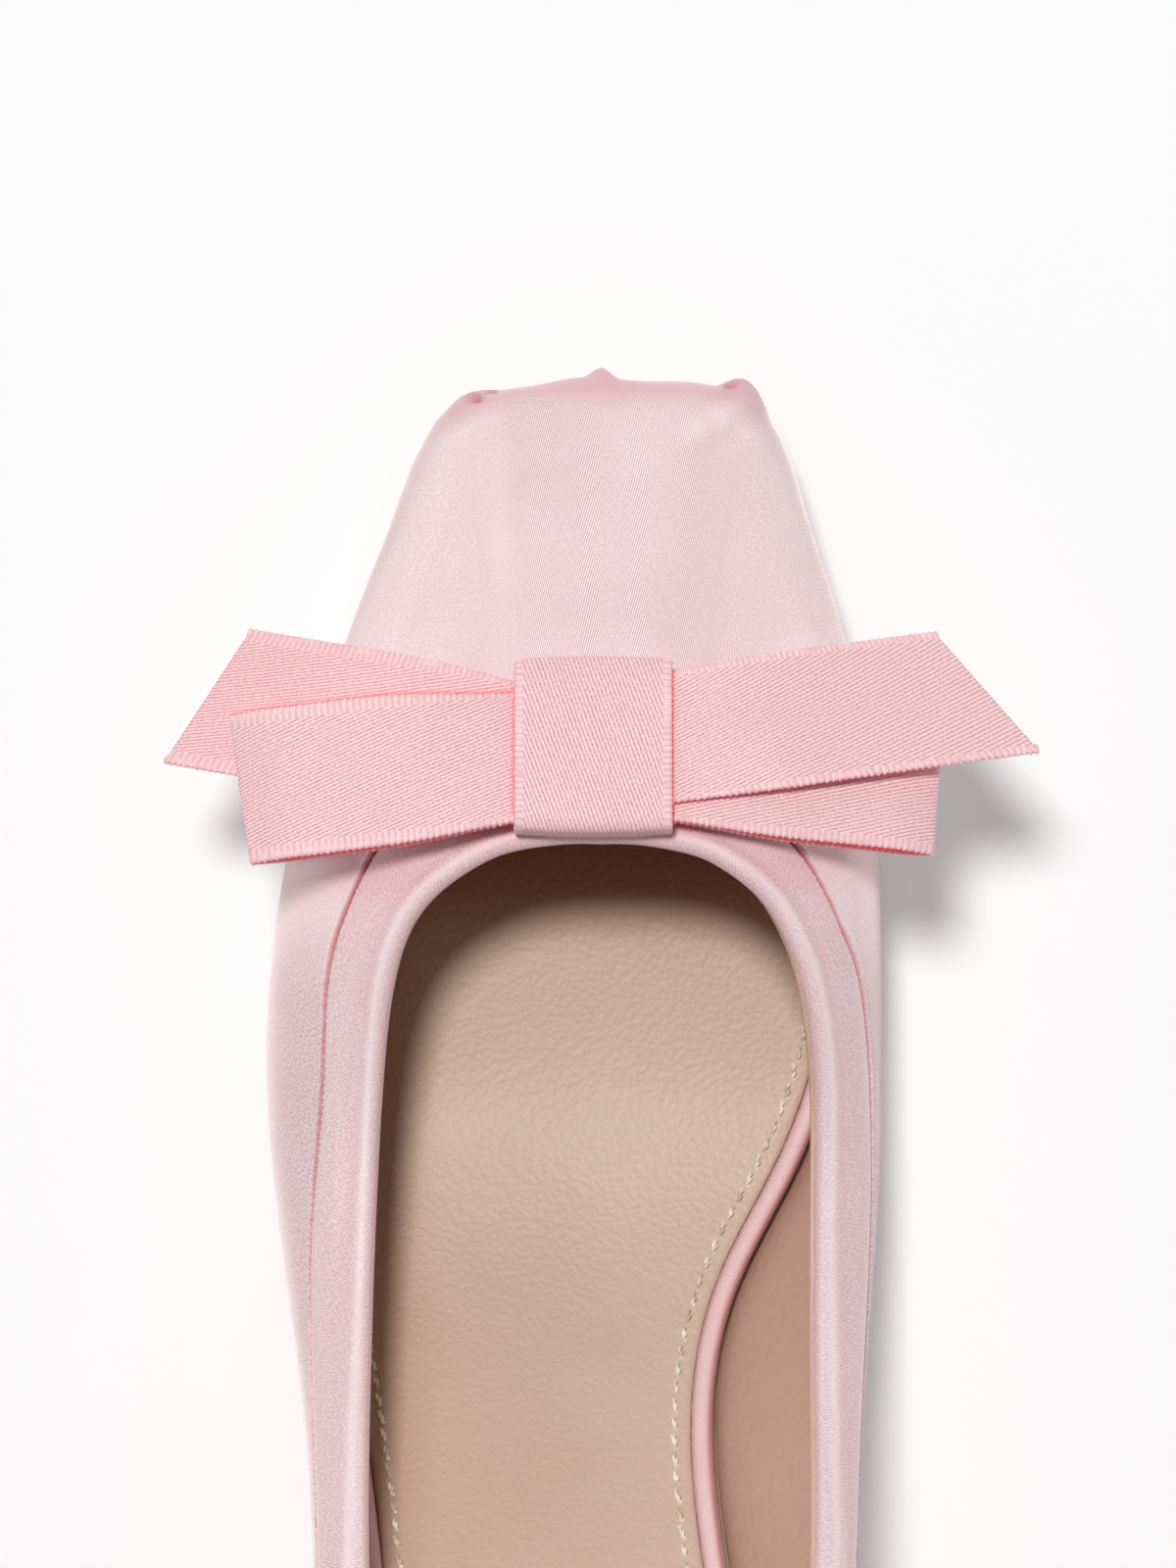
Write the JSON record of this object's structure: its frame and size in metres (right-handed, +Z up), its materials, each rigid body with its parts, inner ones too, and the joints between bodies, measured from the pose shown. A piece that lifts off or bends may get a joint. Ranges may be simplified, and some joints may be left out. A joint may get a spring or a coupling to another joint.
{
  "type": "slingback heel",
  "caption": "Left slingback kitten heel in satin, with a square pleated toe, wide padded topline band, flat ribbon bow, leather sock and a strap round the heel.",
  "frame": {"origin": "on the floor at the middle of the forefoot's flat tread", "axes": "+Z up from the floor, +Y towards the toe, +X towards the inner (medial) side of the foot"},
  "size_m": [0.1076, 0.2396, 0.0987],
  "materials": {
    "satin": "pale pink satin with a soft sheen",
    "ribbon": "rose pink twill ribbon with a soft sheen",
    "sock_leather": "fine grained beige leather",
    "sole_leather": "smooth waxed tan leather",
    "tip_rubber": "matte hard rubber"
  },
  "bodies": {
    "root": {"outsole": "sole_leather", "heel": "satin", "heel_tip": "tip_rubber", "insole_board": "satin", "sock": "sock_leather", "sock_piping": "satin", "upper": "satin", "topline_band": "satin", "bow_loop_left": "ribbon", "bow_loop_right": "ribbon", "bow_tail_left": "ribbon", "bow_tail_right": "ribbon", "bow_knot": "ribbon", "sling_strap": "satin"}
  },
  "joints": []
}
